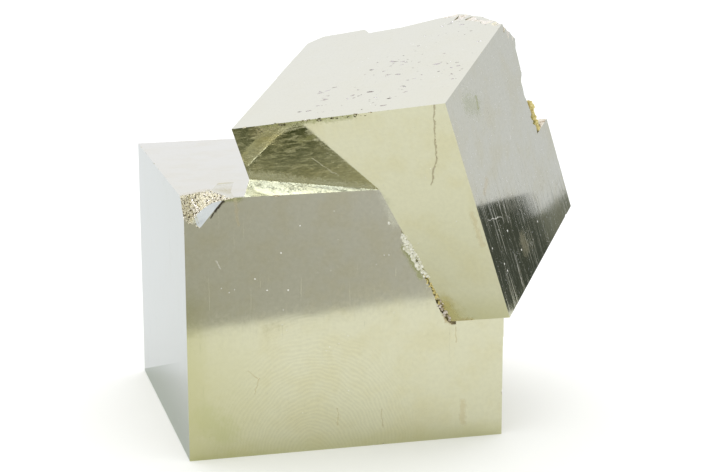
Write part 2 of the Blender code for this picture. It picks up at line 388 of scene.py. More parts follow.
def pyriteFace(name, finish):
    # A mirror-bright growth face: slow waves, fine striations, scratches, cloudy patches and dust.
    material, tree, shader = startMaterial(name, finish["colour"], finish["roughness"], 1.0)
    shader.inputs["Specular Tint"].default_value = finish["edgeTint"]
    place = objectMillimetres(tree)
    face = faceMillimetres(tree)
    across, along = finish["lineScale"]

    cloud = noiseValue(tree, place, 0.30, 4.0, 0.60)
    fineCloud = noiseValue(tree, place, 2.1, 3.0, 0.6)
    lines = noiseValue(tree, stretched(tree, face, across, along), 1.0, 3.0, 0.65)
    scratchPlace = stretched(tree, face, across * 0.8, along * 1.6)
    scratches = remap(tree, noiseValue(tree, scratchPlace, 1.0, 1.0, 0.4, 0.3), 0.72, 0.75)
    speck = remap(tree, cells(tree, face, finish["dustScale"]), 0.05, 0.11, 1.0, 0.0)
    dusty = remap(tree, noiseValue(tree, face, 0.35, 1.0), finish["dust"], finish["dust"] + 0.06)
    dust = times(tree, speck, dusty)

    # The duller stretch that the streaks lie in, when the finish has them.
    streakSide = leftOf(tree, face, finish["streakEdge"])
    streakSide = times(tree, streakSide, leftOf(tree, face, finish["streakFoot"]))
    streaks = noiseValue(tree, stretched(tree, face, *finish["streakScale"]), 1.0, 5.0, 0.72, 0.8)
    streaks = times(tree, remap(tree, streaks, 0.44, 0.68, 0.0, finish["streak"]), streakSide)

    matt = finish["roughness"]
    roughness = remap(tree, fineCloud, 0.35, 0.75, matt * 0.85, matt * 1.2)
    roughness = plus(tree, roughness, remap(tree, cloud, 0.52, 0.75, 0.0, finish["haze"]))
    roughness = plus(tree, roughness, remap(tree, lines, 0.52, 0.66, 0.0, finish["brush"]))
    roughness = plus(tree, roughness, streaks)
    roughness = plus(tree, roughness, times(tree, scratches, 0.15))
    roughness = plus(tree, roughness, times(tree, dust, 0.5))

    colour = blendColours(tree, remap(tree, cloud, 0.40, 0.70), finish["colour"], finish["warmColour"])
    colour = blendColours(tree, dust, colour, finish["dustColour"])
    metallic = minus(tree, 1.0, times(tree, dust, 0.85))

    swing = finish["grainTone"]
    tone = remap(tree, noiseValue(tree, face, 2.3, 4.0, 0.62), 0.30, 0.70, 1.0 - swing, 1.0 + swing)
    if finish["rippleTone"]:
        wave = ripples(tree, face, finish)
        tone = plus(tree, tone, times(tree, wave, finish["rippleTone"]))
    mottle = noiseValue(tree, stretched(tree, face, *finish["mottleScale"]), 1.0, 8.0, 0.85)
    mottle = remap(tree, mottle, 0.40, 0.60, 0.0, finish["streakTone"])
    tone = minus(tree, tone, times(tree, mottle, streakSide))
    colour = blendColours(tree, 1.0, colour, tone, "MULTIPLY")

    for kind, start, end, reach in finish["marks"]:
        markColour, strength, markMatt, ragged, grain, dulling = markKinds[kind]
        mask = markMask(tree, face, start, end, reach, strength, ragged, grain)
        colour = blendColours(tree, mask, colour, markColour)
        roughness = plus(tree, roughness, times(tree, mask, markMatt))
        metallic = calculate(tree, "SUBTRACT", metallic, times(tree, mask, dulling), clamp=True)

    feed(tree, shader.inputs["Base Color"], colour)
    feed(tree, shader.inputs["Roughness"], roughness)
    feed(tree, shader.inputs["Metallic"], metallic)

    normal = bump(tree, noiseValue(tree, place, finish["waveScale"], 2.0), finish["waveHeight"])
    normal = bump(tree, lines, finish["lineHeight"], normal)
    normal = bump(tree, scratches, finish["scratchHeight"], normal)
    if finish["rippleHeight"]:
        normal = bump(tree, wave, finish["rippleHeight"], normal)
    feed(tree, shader.inputs["Normal"], normal)
    return material


def leftOf(tree, face, edge):
    # 1 on the left of this line across a face, 0 on its right.
    start, end = [Vector(point) for point in edge]
    along = (end - start).normalized()
    offset = combine(tree, "SUBTRACT", face, (*start, 0.0))
    past = combine(tree, "DOT_PRODUCT", offset, (along.y, -along.x, 0.0))
    return remap(tree, past, -0.3, 0.5, 1.0, 0.0)


def ripples(tree, face, finish):
    # Faint growth arcs around a point near the foot of the face.
    offset = combine(tree, "SUBTRACT", face, (*finish["rippleMiddle"], 0.0))
    reach = combine(tree, "LENGTH", combine(tree, "MULTIPLY", offset, (1.0, 0.82, 0.0)))
    uneven = times(tree, noiseValue(tree, face, 0.35, 2.0), 1.2)
    wave = calculate(tree, "SINE", times(tree, plus(tree, reach, uneven), finish["rippleRate"]))
    return times(tree, wave, remap(tree, reach, *finish["rippleReach"], 1.0, 0.0))


def markMask(tree, face, start, end, reach, strength, ragged, grain):
    # How much of a mark covers this point: the distance to a straight stretch, ragged at the rim.
    length = max((Vector(end) - Vector(start)).length, 0.001)
    along = (Vector(end) - Vector(start)) / length
    shifted = face
    if length > 0.3:
        wobble = addNode(tree, "ShaderNodeTexNoise")
        feed(tree, wobble.inputs["Vector"], face)
        wobble.inputs["Scale"].default_value = 1.1
        shift = combine(tree, "SUBTRACT", wobble.outputs["Color"], (0.5, 0.5, 0.5))
        shifted = combine(tree, "ADD", face, combine(tree, "MULTIPLY", shift, (0.55, 0.55, 0.0)))
    offset = combine(tree, "SUBTRACT", shifted, (*start, 0.0))
    run = combine(tree, "DOT_PRODUCT", offset, (*along, 0.0))
    run = calculate(tree, "MAXIMUM", calculate(tree, "MINIMUM", run, length), 0.0)
    nearest = addNode(tree, "ShaderNodeVectorMath", operation="SCALE")
    nearest.inputs[0].default_value = (*along, 0.0)
    tree.links.new(run, nearest.inputs["Scale"])
    gap = combine(tree, "LENGTH", combine(tree, "SUBTRACT", offset, nearest.outputs[0]))
    fray = minus(tree, noiseValue(tree, face, grain, 3.0, 0.65), 0.5)
    gap = plus(tree, gap, times(tree, fray, ragged * reach * 1.6))
    return remap(tree, gap, reach * 0.15, reach, strength, 0.0)


fractureFinish = {
    "colour": (0.60, 0.56, 0.42),
    "stain": (0.33, 0.25, 0.13),
    "roughness": 0.22,
    "grainHeight": 0.00006,
    "grainScale": 3.2,
    "patchScale": 1.4,
    "stained": (0.46, 0.60),
}

druseFinish = {
    "colour": (0.74, 0.70, 0.54),
    "stain": (0.09, 0.065, 0.035),
    "roughness": 0.34,
    "grainHeight": 0.00003,
    "grainScale": 6.0,
    "patchScale": 4.4,
    "stained": (0.52, 0.58),
}

# The cleavage's pale bluish colours are a painted reflection of the bright room above it, not the pyrite's
# own yellow.
cleavagePaintedSkyFinish = {
    **pyriteFinish,
    "colour": (0.66, 0.69, 0.68),
    "warmColour": (0.50, 0.53, 0.54),
    "roughness": 0.13,
    "lineScale": (2.0, 2.0),
}

paleFractureFinish = {
    **fractureFinish,
    "colour": (0.68, 0.65, 0.55),
    "stain": (0.42, 0.36, 0.22),
    "roughness": 0.32,
    "stained": (0.54, 0.66),
}

pitFinish = {
    **fractureFinish,
    "colour": (0.47, 0.44, 0.42),
    "stain": (0.32, 0.28, 0.25),
    "roughness": 0.35,
    "grainHeight": 0.00002,
}

wedgeFinish = {
    **pyriteFinish,
    "colour": (0.56, 0.55, 0.38),
    "warmColour": (0.47, 0.43, 0.22),
    "roughness": 0.22,
    "haze": 0.08,
    "waveScale": 2.2,
    "waveHeight": 0.0000035,
}

darkFractureFinish = {
    **fractureFinish,
    "colour": (0.42, 0.40, 0.24),
    "stain": (0.13, 0.11, 0.05),
    "roughness": 0.30,
    "grainHeight": 0.00005,
}


def pyriteFracture(name, finish):
    # Broken or drusy pyrite: granular, with brown in its hollows.
    material, tree, shader = startMaterial(name, finish["colour"], finish["roughness"], 1.0)
    place = objectMillimetres(tree)
    grain = cells(tree, place, finish["grainScale"])
    fine = noiseValue(tree, place, 6.0, 3.0, 0.7)
    patch = noiseValue(tree, place, finish["patchScale"], 3.0, 0.6)
    hollows = remap(tree, grain, 0.25, 0.6, 0.3, 1.0)
    stained = times(tree, remap(tree, patch, *finish["stained"]), hollows)
    feed(tree, shader.inputs["Base Color"], blendColours(tree, stained, finish["colour"], finish["stain"]))
    matt = remap(tree, fine, 0.3, 0.7, finish["roughness"] * 0.6, finish["roughness"] * 1.7)
    feed(tree, shader.inputs["Roughness"], matt)
    feed(tree, shader.inputs["Metallic"], minus(tree, 1.0, times(tree, stained, 0.6)))
    normal = bump(tree, grain, finish["grainHeight"])
    feed(tree, shader.inputs["Normal"], bump(tree, fine, finish["grainHeight"] * 0.5, normal))
    return material


def earthy(name, colours, roughness, grainHeight):
    # Calcite, clay and limonite: matt minerals with patchy colour.
    material, tree, shader = startMaterial(name, colours[0], roughness, 0.0)
    place = objectMillimetres(tree)
    patch = noiseValue(tree, place, 2.4, 4.0, 0.65)
    fine = noiseValue(tree, place, 9.6, 3.0, 0.7)
    colour = blendColours(tree, remap(tree, patch, 0.42, 0.58), colours[0], colours[1])
    colour = blendColours(tree, remap(tree, fine, 0.56, 0.70), colour, colours[2])
    feed(tree, shader.inputs["Base Color"], colour)
    matt = remap(tree, fine, 0.3, 0.7, roughness * 0.85, min(1.0, roughness * 1.15))
    feed(tree, shader.inputs["Roughness"], matt)
    normal = bump(tree, patch, grainHeight)
    feed(tree, shader.inputs["Normal"], bump(tree, fine, grainHeight * 0.4, normal))
    return material


def objectFromShape(name, shape, materials, outward=True):
    if outward:
        bmesh.ops.recalc_face_normals(shape, faces=shape.faces)
    mesh = bpy.data.meshes.new(name)
    shape.to_mesh(mesh)
    shape.free()
    for material in materials:
        mesh.materials.append(material)
    obj = bpy.data.objects.new(name, mesh)
    bpy.context.scene.collection.objects.link(obj)
    return obj


def boxShape(low, high, axes):
    shape = bmesh.new()
    size = Vector(high) - Vector(low)
    middle = (Vector(high) + Vector(low)) / 2
    bmesh.ops.create_cube(shape, size=1.0, matrix=axes @ Matrix.LocRotScale(middle, None, size))
    return shape


def hullInto(shape, points, axes):
    verts = [shape.verts.new(axes @ Vector(point)) for point in points]
    result = bmesh.ops.convex_hull(shape, input=verts)
    inner = [item for item in result["geom_interior"] if isinstance(item, bmesh.types.BMVert)]
    bmesh.ops.delete(shape, geom=inner, context="VERTS")


def refine(shape, longest):
    # Splits edges until none is longer than this, so that a surface can be roughened.
    for turn in range(12):
        edges = [edge for edge in shape.edges if edge.calc_length() > longest]
        if not edges:
            break
        bmesh.ops.subdivide_edges(shape, edges=edges, cuts=1)
        bmesh.ops.triangulate(shape, faces=[face for face in shape.faces if len(face.verts) > 3])


def carve(name, base, cutters):
    # Cuts every cutter out of the base and leaves one plain mesh. Cut faces keep the cutter's material.
    for cutter in cutters:
        modifier = base.modifiers.new(cutter.name, "BOOLEAN")
        modifier.operation = "DIFFERENCE"
        modifier.solver = "MANIFOLD"
        modifier.material_mode = "TRANSFER"
        modifier.object = cutter
    result = plainCopy(name, base)
    for obj in [base, *cutters]:
        bpy.data.objects.remove(obj, do_unlink=True)
    shape = bmesh.new()
    shape.from_mesh(result.data)
    bmesh.ops.triangulate(shape, faces=shape.faces[:])
    shape.to_mesh(result.data)
    shape.free()
    return result


def plainCopy(name, obj):
    bpy.context.view_layer.update()
    graph = bpy.context.evaluated_depsgraph_get()
    mesh = bpy.data.meshes.new_from_object(obj.evaluated_get(graph), depsgraph=graph)
    copy = bpy.data.objects.new(name, mesh)
    bpy.context.scene.collection.objects.link(copy)
    return copy


def mapFaces(obj, axes, materials):
    # Lays each face out in the crystal's own millimetres, and gives each side its own material.
    layer = obj.data.uv_layers.new(name="crystalFace")
    back = axes.inverted()
    sides = {}
    for key, material in materials.items():
        sides[key] = len(obj.data.materials)
        obj.data.materials.append(material)
    for polygon in obj.data.polygons:
        normal = (back.to_3x3() @ polygon.normal).normalized()
        side = max(range(3), key=lambda axis: abs(normal[axis]))
        across, down = ((1, 2), (0, 2), (0, 1))[side]
        key = ("left", "front", "top")[side] if normal[side] < 0 else ("right", "back", "bottom")[side]
        away = 0.0 if key in ("front", "top", "right") else 60.0
        for loop in polygon.loop_indices:
            point = back @ obj.data.vertices[obj.data.loops[loop].vertex_index].co
            layer.data[loop].uv = (point[across] + away, point[down] + away)
        if polygon.material_index == 0:
            polygon.material_index = sides.get(key, sides["rest"])
    dropUnusedSlots(obj)


def dropUnusedSlots(obj):
    used = sorted({polygon.material_index for polygon in obj.data.polygons})
    kept = [obj.data.materials[index] for index in used]
    places = {index: place for place, index in enumerate(used)}
    indices = [places[polygon.material_index] for polygon in obj.data.polygons]
    obj.data.materials.clear()
    for material in kept:
        obj.data.materials.append(material)
    obj.data.polygons.foreach_set("material_index", indices)


def nickShape(rng, place, size, stretch=(1.0, 1.0, 1.0)):
    # The points of one small angular bite.
    points = []
    for corner in range(9):
        direction = Vector((rng.gauss(0, 1), rng.gauss(0, 1), rng.gauss(0, 1))).normalized()
        reach = size * rng.uniform(0.7, 1.1)
        points.append(Vector(place) + Vector([direction[axis] * stretch[axis] * reach for axis in range(3)]))
    return points


def nicks(name, rng, places, axes, material):
    # Small bites, one convex lump each. Places are (position, size, stretch). Bites that overlap go
    # into different cutters, so every cutter is a set of clean separate lumps.
    groups = []
    for place, size, stretch in places:
        middle = Vector(place)
        reach = Vector(stretch) * size * 1.1
        for lumps, taken in groups:
            if all(keepClear(middle, reach, other, far) for other, far in taken):
                break
        else:
            lumps, taken = bmesh.new(), []
            groups.append((lumps, taken))
        hullInto(lumps, nickShape(rng, place, size, stretch), axes)
        taken.append((middle, reach))
    cutters = []
    for number, (lumps, taken) in enumerate(groups):
        cutters.append(objectFromShape(name + str(number), lumps, [material]))
    return cutters


def keepClear(middle, reach, other, far):
    return any(abs((middle - other)[axis]) > reach[axis] + far[axis] for axis in range(3))


def scatter(name, base, density, size, seed, material):
    # Strews grains over a surface with Geometry Nodes and returns them as one plain mesh.
    tree = bpy.data.node_groups.new(name + "Scatter", "GeometryNodeTree")
    tree.is_modifier = True
    tree.interface.new_socket("Geometry", in_out="INPUT", socket_type="NodeSocketGeometry")
    inputs = {}
    for label, kind in (("Density", "NodeSocketFloat"), ("Smallest", "NodeSocketFloat"),
                        ("Largest", "NodeSocketFloat"), ("Seed", "NodeSocketInt")):
        inputs[label] = tree.interface.new_socket(label, in_out="INPUT", socket_type=kind)
    tree.interface.new_socket("Geometry", in_out="OUTPUT", socket_type="NodeSocketGeometry")
    entry = addNode(tree, "NodeGroupInput")
    points = addNode(tree, "GeometryNodeDistributePointsOnFaces", distribute_method="RANDOM")
    feed(tree, points.inputs["Mesh"], entry.outputs["Geometry"])
    feed(tree, points.inputs["Density"], entry.outputs["Density"])
    feed(tree, points.inputs["Seed"], entry.outputs["Seed"])
    source = addNode(tree, "GeometryNodeMeshIcoSphere")
    source.inputs["Radius"].default_value = 0.6
    source.inputs["Subdivisions"].default_value = 1
    spread = addNode(tree, "GeometryNodeInstanceOnPoints")
    feed(tree, spread.inputs["Points"], points.outputs["Points"])
    feed(tree, spread.inputs["Instance"], source.outputs["Mesh"])
    turn = addNode(tree, "FunctionNodeRandomValue", data_type="FLOAT_VECTOR")
    turn.inputs[0].default_value = (0.0, 0.0, 0.0)
    turn.inputs[1].default_value = (6.283, 6.283, 6.283)
    feed(tree, turn.inputs["Seed"], entry.outputs["Seed"])
    feed(tree, spread.inputs["Rotation"], turn.outputs[0])
    amount = addNode(tree, "FunctionNodeRandomValue", data_type="FLOAT")
    feed(tree, amount.inputs[2], entry.outputs["Smallest"])
    feed(tree, amount.inputs[3], entry.outputs["Largest"])
    feed(tree, amount.inputs["Seed"], entry.outputs["Seed"])
    feed(tree, spread.inputs["Scale"], amount.outputs[1])
    real = addNode(tree, "GeometryNodeRealizeInstances")
    feed(tree, real.inputs[0], spread.outputs[0])
    finish = addNode(tree, "GeometryNodeSetMaterial")
    finish.inputs["Material"].default_value = material
    feed(tree, finish.inputs["Geometry"], real.outputs[0])
    feed(tree, addNode(tree, "NodeGroupOutput").inputs[0], finish.outputs[0])

    modifier = base.modifiers.new("scatter", "NODES")
    modifier.node_group = tree
    modifier[inputs["Density"].identifier] = density / (mm * mm)
    modifier[inputs["Smallest"].identifier] = size[0] * mm
    modifier[inputs["Largest"].identifier] = size[1] * mm
    modifier[inputs["Seed"].identifier] = seed
    result = plainCopy(name, base)
    bpy.data.objects.remove(base, do_unlink=True)
    return result


def ribbon(name, pointsA, pointsB):
    # A strip of faces between two rows of points, in metres.
    shape = bmesh.new()
    rows = [[shape.verts.new(point) for point in points] for points in (pointsA, pointsB)]
    for index in range(len(pointsA) - 1):
        shape.faces.new((rows[0][index], rows[0][index + 1], rows[1][index + 1], rows[1][index]))
    return objectFromShape(name, shape, [], outward=False)


def mergePieces(name, objects):
    # Joins loose grain meshes into one piece, keeping their materials.
    shape = bmesh.new()
    materials = []
    for obj in objects:
        before = len(shape.faces)
        shape.from_mesh(obj.data)
        shape.faces.ensure_lookup_table()
        for face in shape.faces[before:]:
            material = obj.data.materials[min(face.material_index, len(obj.data.materials) - 1)]
            if material not in materials:
                materials.append(material)
            face.material_index = materials.index(material)
        bpy.data.objects.remove(obj, do_unlink=True)
    return objectFromShape(name, shape, materials)


def keepInside(obj, margin=0.01):
    # Holds every point inside the specimen's measured box.
    low = cadBox[0] + Vector((margin, margin, margin)) * mm
    high = cadBox[1] - Vector((margin, margin, margin)) * mm
    for vert in obj.data.vertices:
        vert.co = Vector([min(max(vert.co[axis], low[axis]), high[axis]) for axis in range(3)])


studio = {
    "lens": 97.46,
    "azimuth": 14.17,
    "elevation": 13.24,
    "roll": -0.2,
    "distance": 0.200,
    "target": (-0.0020, 0.0015, 0.0183),
    "floorSize": 4.0,
    "floorColour": (0.955, 0.96, 0.94),
    # What the crystals' faces see around them: the room, the lighter wall behind, low down and high
    # up, the ceiling and one dark spot high on the left.
    "room": (0.98, 0.99, 0.99),
    "wallLow": (1.37, 1.33, 1.38),
    "wallHigh": (1.41, 1.40, 1.58),
    "wallHeading": (3, 25),
    "ceiling": (1.62, 1.62, 1.52),
    "darkSpot": (0.080, 0.106, 0.030),
    "darkSpotHeading": (-111.5, 40.5),
    "darkSpotRadius": (0.027, 0.060),
}


def makeCamera():
    data = bpy.data.cameras.new("camera")
    data.lens = studio["lens"]
    data.sensor_width = 36.0
    data.clip_start = 0.01
    camera = bpy.data.objects.new("camera", data)
    bpy.context.scene.collection.objects.link(camera)
    azimuth = math.radians(studio["azimuth"])
    elevation = math.radians(studio["elevation"])
    back = Vector((
        -math.sin(azimuth) * math.cos(elevation),
        -math.cos(azimuth) * math.cos(elevation),
        math.sin(elevation),
    ))
    camera.location = Vector(studio["target"]) + back * studio["distance"]
    turn = (-back).to_track_quat("-Z", "Y").to_matrix()
    roll = Matrix.Rotation(math.radians(studio["roll"]), 3, "Z")
    camera.rotation_euler = (turn @ roll).to_euler()
    bpy.context.scene.camera = camera


def makeFloor():
    shape = bmesh.new()
    half = studio["floorSize"] / 2
    bmesh.ops.create_grid(shape, x_segments=1, y_segments=1, size=half)
    material, tree, shader = startMaterial("floorPaper", studio["floorColour"], 0.9, 0.0)
    shader.inputs["Specular IOR Level"].default_value = 0.0
    floor = objectFromShape("floor", shape, [material], outward=False)


def heading(azimuth, elevation):
    # The direction at this azimuth (from +Y towards +X) and height above the horizon.
    turn = math.radians(azimuth)
    rise = math.radians(elevation)
    level = math.cos(rise)
    return Vector((math.sin(turn) * level, math.cos(turn) * level, math.sin(rise)))


def makeWorld():
    world = bpy.data.worlds.new("studioWorld")
    bpy.context.scene.world = world
    world.use_nodes = True
    tree = world.node_tree
    background = tree.nodes["Background"]
    direction = addNode(tree, "ShaderNodeTexCoord").outputs["Generated"]
    rise = combine(tree, "DOT_PRODUCT", direction, (0.0, 0.0, 1.0))
    behind = combine(tree, "DOT_PRODUCT", direction, tuple(heading(*studio["wallHeading"])))
    wall = blendColours(tree, remap(tree, rise, 0.24, 0.44), studio["wallLow"], studio["wallHigh"])
    colour = blendColours(tree, remap(tree, behind, 0.30, 0.75), studio["room"], wall)
    colour = blendColours(tree, remap(tree, rise, 0.80, 0.92), colour, studio["ceiling"])
    spot = combine(tree, "DOT_PRODUCT", direction, tuple(heading(*studio["darkSpotHeading"])))
    apart = calculate(tree, "ARCCOSINE", spot)
    outside = remap(tree, apart, *studio["darkSpotRadius"], smooth=False)
    colour = blendColours(tree, outside, studio["darkSpot"], colour)
    feed(tree, background.inputs["Color"], colour)
    background.inputs["Strength"].default_value = 1.0


def makeCard(name, corners, colour, strength):
    # A card that only shows in the crystals' reflections.
    shape = bmesh.new()
    shape.faces.new([shape.verts.new(millimetres(corner)) for corner in corners])
    material = bpy.data.materials.new(name)
    material.use_nodes = True
    tree = material.node_tree
    tree.nodes.remove(tree.nodes["Principled BSDF"])
    glow = addNode(tree, "ShaderNodeEmission")
    glow.inputs["Color"].default_value = (*colour, 1.0)
    glow.inputs["Strength"].default_value = strength
    tree.links.new(glow.outputs[0], tree.nodes["Material Output"].inputs["Surface"])
    card = objectFromShape(name, shape, [material], outward=False)
    card.visible_camera = False
    card.visible_diffuse = False
    card.visible_shadow = False
    return tree, glow


def fadeCard(tree, glow, amount):
    # Lets the card fade out where amount falls to 0.
    mix = addNode(tree, "ShaderNodeMixShader")
    feed(tree, mix.inputs[0], amount)
    tree.links.new(addNode(tree, "ShaderNodeBsdfTransparent").outputs[0], mix.inputs[1])
    tree.links.new(glow.outputs[0], mix.inputs[2])
    tree.links.new(mix.outputs[0], tree.nodes["Material Output"].inputs["Surface"])


def cardFacing(azimuth, elevation, away, wide, high):
    # The corners of a card that faces the seam from this direction, in millimetres.
    middle = Vector((-12, -6, 26)) + heading(azimuth, elevation) * away
    side = heading(azimuth + 90, 0) * wide / 2
    up = Vector((0, 0, high / 2))
    return [tuple(middle + side * i + up * j) for i, j in ((-1, -1), (1, -1), (1, 1), (-1, 1))]


def cardPlace(tree, axis):
    place = addNode(tree, "ShaderNodeSeparateXYZ")
    feed(tree, place.inputs[0], objectMillimetres(tree))
    return place.outputs[axis]


# Corners in millimetres, then the colour of each card.
cards = {
    "frontCard": (
        ((-200, -14, 0.4), (-60, -45, 0.4), (60, -73, 0.4),
         (220, -110, 0.4), (220, -600, 0.4), (-200, -600, 0.4)),
        (0.6, 0.6, 0.6),
    ),
    "sideCardDark": (
        ((110, 30, 0.1), (110, 46, 0.1), (118, 46, 14.9), (118, 30, 16.4)),
        (0.085, 0.095, 0.085),
    ),
    "sideCardGrey": (
        ((111, 44, 0.05), (111, 70, 0.05), (119, 70, 16.5),
         (119, 54.7, 12.9), (119, 45, 9.6), (119, 44, 9.6)),
        (0.27, 0.28, 0.26),
    ),
    # A painted shadow: a dark strip lying on the floor at the foot of the dark card, seen only in
    # reflections.
    "sideFloorShadowCard": (
        ((103, 28, 0.04), (103, 40, 0.04), (112, 46, 0.04), (112, 31, 0.04)),
        (0.20, 0.21, 0.18),
    ),
    "rightCard": (
        ((135, -60, 0.2), (135, 240, 0.2), (135, 240, 70), (135, -60, 70)),
        (0.95, 0.96, 1.10),
    ),
    # A painted contact shadow: a greenish-grey sheet on the floor beside the left face, seen only in its
    # reflection.
    "footShadowCard": (
        ((-22.0, -14, 0.05), (-22.0, 19.5, 0.05), (-30, 22, 0.15), (-30, -14, 0.15)),
        (0.56, 0.60, 0.50),
    ),
}


def makeCards():
    made = {}
    for name, (corners, colour) in cards.items():
        made[name] = makeCard(name, corners, colour, 1.0)
    tree, glow = made["frontCard"]
    shade = remap(tree, cardPlace(tree, "X"), -25.0, 30.0, smooth=False)
    feed(tree, glow.inputs["Color"], blendColours(tree, shade, (0.52, 0.52, 0.49), (0.70, 0.70, 0.77)))
    # The painted contact shadow fades out away from the left face.
    tree, glow = made["footShadowCard"]
    fadeCard(tree, glow, remap(tree, cardPlace(tree, "X"), -27.0, -22.0, 0.0, 0.6))
    makeCard("softbox", cardFacing(-114, 21.5, 200, 92, 44), (0.86, 0.88, 1.22), 9.0)


makeCamera()
makeFloor()
makeWorld()
makeCards()
print("studio ready")


lowerFeatures = {
    # The broken corner as (across, back, depth): its outline on the front, then the line where the
    # smooth cleavage meets the granular part, then the rim on top, then points beyond the faces.
    "chipFront": ((0, 0, 2.0), (0.64, 0, 2.3), (1.56, 0, 2.72), (3.68, 0, 0.22), (4.45, 0, 0.06)),
    "chipInner": (
        (0.85, 1.0, 2.40), (1.27, 1.1, 1.85), (1.8, 1.0, 1.30), (2.4, 0.8, 0.83), (2.9, 0.55, 0.49),
    ),
    "chipRim": ((0, 1.7, 0.25), (1.07, 2.7, 0.0), (2.19, 3.59, 0.0), (3.01, 4.2, 0.0), (3.9, 2.4, 0.05)),
    "chipBeyond": (
        (0.3, 3.2, -0.5), (1.4, 3.9, -0.5), (2.6, 4.9, -0.5),
        (4.1, 4.6, -0.5), (5.2, 2.4, -0.5), (5.6, 0, -0.5),
    ),
    # The low facets on the top beside the upper crystal.
    "wedge": (
        ((4.95, -0.3, -0.02), (5.2, 3.6, -0.02), (4.82, -0.3, 0.012), (5.07, 3.5, 0.012), (4.2, -0.3, 0.062),
         (4.3, 3.2, 0.06), (2.6, -0.3, 0.04), (2.4, 2.9, -0.02), (3.2, 4.3, -0.02)),
        ((5.05, 2.6, -0.02), (6.35, 7.4, -0.02), (4.92, 2.6, 0.012), (6.15, 7.2, 0.01), (4.25, 2.6, 0.06),
         (4.6, 5.1, 0.055), (4.7, 6.9, 0.045), (3.0, 3.2, -0.02), (3.74, 5.2, -0.02), (4.5, 7.2, -0.02)),
    ),
    "grainHeight": 0.13,
    "grainSize": 0.26,
    "grainMesh": 0.13,
    "edgeNicks": 46,
    "terraces": 5,
}

# How far below the lower crystal's top, and the furrow's half width there.
furrowStations = (
    (4.2, 0.10), (5.0, 0.30), (6.4, 0.36), (8.4, 0.36), (10.2, 0.30),
    (11.2, 0.46), (12.4, 0.72), (13.3, 0.62), (14.1, 0.25),
)


def seamPoint(depth):
    # Where the upper crystal leaves the lower one's front face, this far below its top.
    outward = upperTurn @ Vector((0, -1, 0))
    onFace = upperMiddle + upperTurn @ Vector((0, -upperHalf.y, 0))
    height = lowerHigh.z - depth * mm
    across = (outward.dot(onFace) - outward.y * lowerLow.y - outward.z * height) / outward.x
    return Vector((across, lowerLow.y, height))


def makeChip(brokenMaterial, faceMaterial):
    # The broken corner: one smooth cleavage and a granular hollow behind it.
    features = lowerFeatures
    front = [Vector(point) for point in features["chipFront"]]
    inner = [Vector(point) for point in features["chipInner"]]
    rim = [Vector(point) for point in features["chipRim"]]
    beyond = [Vector(point) for point in features["chipBeyond"]]
    ahead = [point + Vector((0, -0.8, 0)) for point in front]
    left = [Vector((-0.8, *point)) for point in ((0, 2.0), (-0.8, 2.0), (1.7, 0.25), (3.0, -0.5))]
    points = front + inner + rim + beyond + ahead + left + [Vector((6.4, -0.8, -0.5))]
    cleavage = [2, 3] + [len(front) + index for index in (4, 3, 2, 1, 0)]
    edges = [(cleavage[index], cleavage[(index + 1) % len(cleavage)]) for index in range(len(cleavage))]
    flat = [Vector((point.x, point.y)) for point in points]
    result = delaunay_2d_cdt(flat, edges, [], 0, 0.0001)
    shape = bmesh.new()
    verts = [shape.verts.new(points[source[0]]) for source in result[3]]
    outline = [flat[index] for index in cleavage]
    for triangle in result[2]:
        face = shape.faces.new([verts[index] for index in triangle])
        middle = sum((verts[index].co for index in triangle), Vector()) / 3
        face.material_index = 1 if insideOutline(outline, middle) else 0
    refine(shape, features["grainMesh"])
    smooth = set()
    for face in shape.faces:
        if face.material_index == 1:
            smooth.update(face.verts)
    for vert in shape.verts:
        if vert not in smooth and -0.7 < vert.co.x and -0.7 < vert.co.y and vert.co.z > -0.2:
            place = vert.co / features["grainSize"]
            push = noise.noise(place) + 0.6 * noise.noise(place * 2.2) + 0.6 * noise.cell(place * 1.2)
            vert.co.z += push * features["grainHeight"]
    bottom = shape.faces[:]
    lifted = bmesh.ops.extrude_face_region(shape, geom=bottom)
    for item in lifted["geom"]:
        if isinstance(item, bmesh.types.BMVert):
            item.co.z = -1.5
    bmesh.ops.transform(shape, matrix=lowerAxes, verts=shape.verts)
    return objectFromShape("lowerChip", shape, [brokenMaterial, faceMaterial])


def insideOutline(outline, point):
    # Counts the outline's crossings on one side of the point.
    inside = False
    for index, start in enumerate(outline):
        end = outline[(index + 1) % len(outline)]
        if (start.y > point.y) != (end.y > point.y):
            crossing = start.x + (point.y - start.y) * (end.x - start.x) / (end.y - start.y)
            if point.x < crossing:
                inside = not inside
    return inside


def makeFurrow(material):
    # A rough channel along the seam on the front.
    shape = bmesh.new()
    rings = []
    rng = random.Random(11)
    for depth, half in subdivided(furrowStations, 7):
        middle = seamPoint(depth) / mm
        ring = []
        for step in range(9):
            turn = 2 * math.pi * step / 9
            reach = half * rng.uniform(0.75, 1.15)
            ring.append(shape.verts.new(Vector((
                middle.x + math.cos(turn) * reach,
                middle.y + math.sin(turn) * reach * 0.9,
                middle.z,
            )) * mm))
        rings.append(ring)
    joinRings(shape, rings)
    return objectFromShape("furrow", shape, [material])


def subdivided(stations, parts):
    # The stations with straight runs between them split up.
    result = []
    for first, second in zip(stations, stations[1:]):
        for part in range(parts):
            share = part / parts
            result.append(tuple(a + (b - a) * share for a, b in zip(first, second)))
    return result + [stations[-1]]


def joinRings(shape, rings):
    # A closed skin over rows of points, with a flat cap on each end.
    for first, second in zip(rings, rings[1:]):
        count = len(first)
        for index in range(count):
            after = (index + 1) % count
            shape.faces.new((first[index], first[after], second[after], second[index]))
    shape.faces.new(rings[0])
    shape.faces.new(rings[-1])
    bmesh.ops.triangulate(shape, faces=shape.faces[:])


